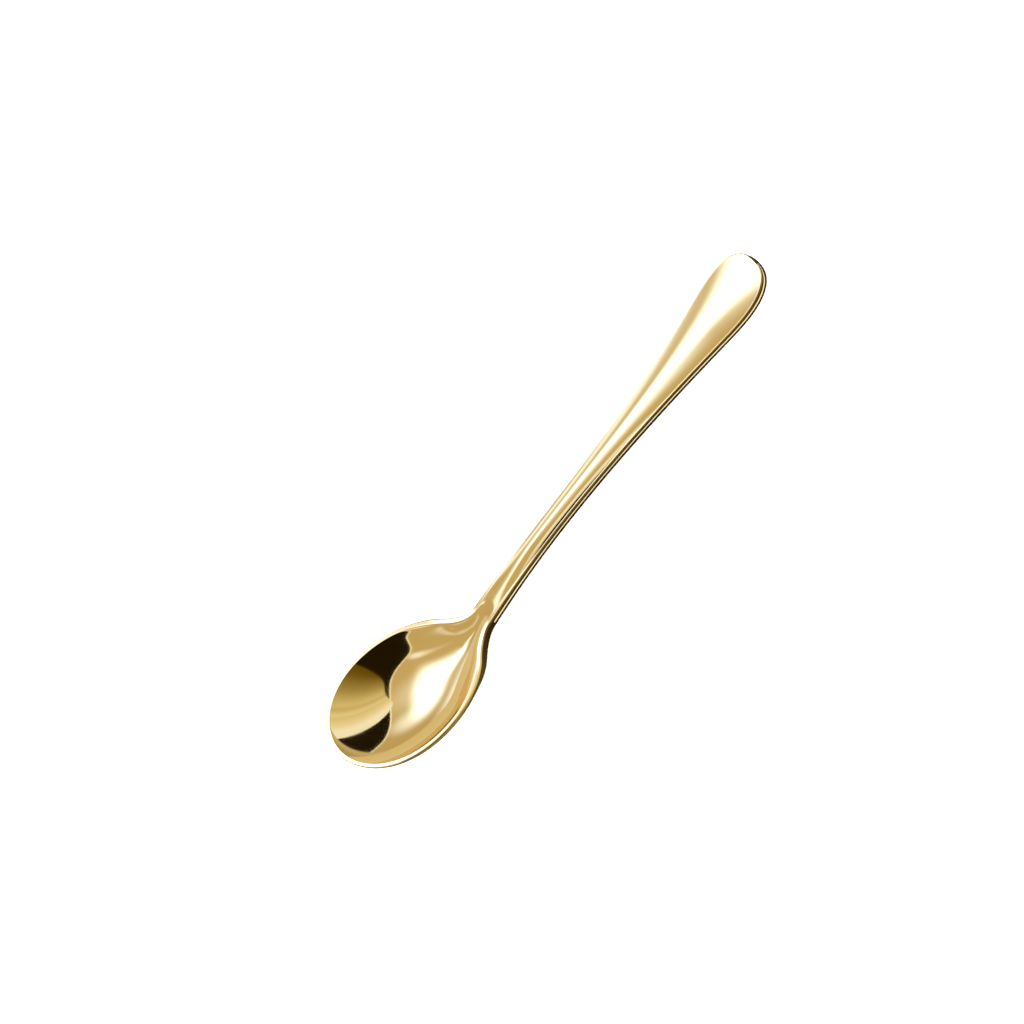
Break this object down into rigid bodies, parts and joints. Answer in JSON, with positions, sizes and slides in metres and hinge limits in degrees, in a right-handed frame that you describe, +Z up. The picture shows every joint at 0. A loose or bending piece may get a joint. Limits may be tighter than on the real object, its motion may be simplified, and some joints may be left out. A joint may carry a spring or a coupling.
{
  "type": "spoon",
  "caption": "Small one-piece spoon with an oval bowl, a narrow neck and a crowned handle that widens to a rounded end, in polished gold-coloured steel.",
  "frame": {"origin": "middle of the bounding box in X and Y, on the surface that the spoon rests on", "axes": "+X along the spoon from the bowl's tip to the handle's end, +Y across it, +Z up, out of the open bowl"},
  "size_m": [0.13, 0.0272, 0.0166],
  "materials": {
    "gold_steel": "polished"
  },
  "bodies": {
    "root": {"spoon": "gold_steel"}
  },
  "joints": []
}
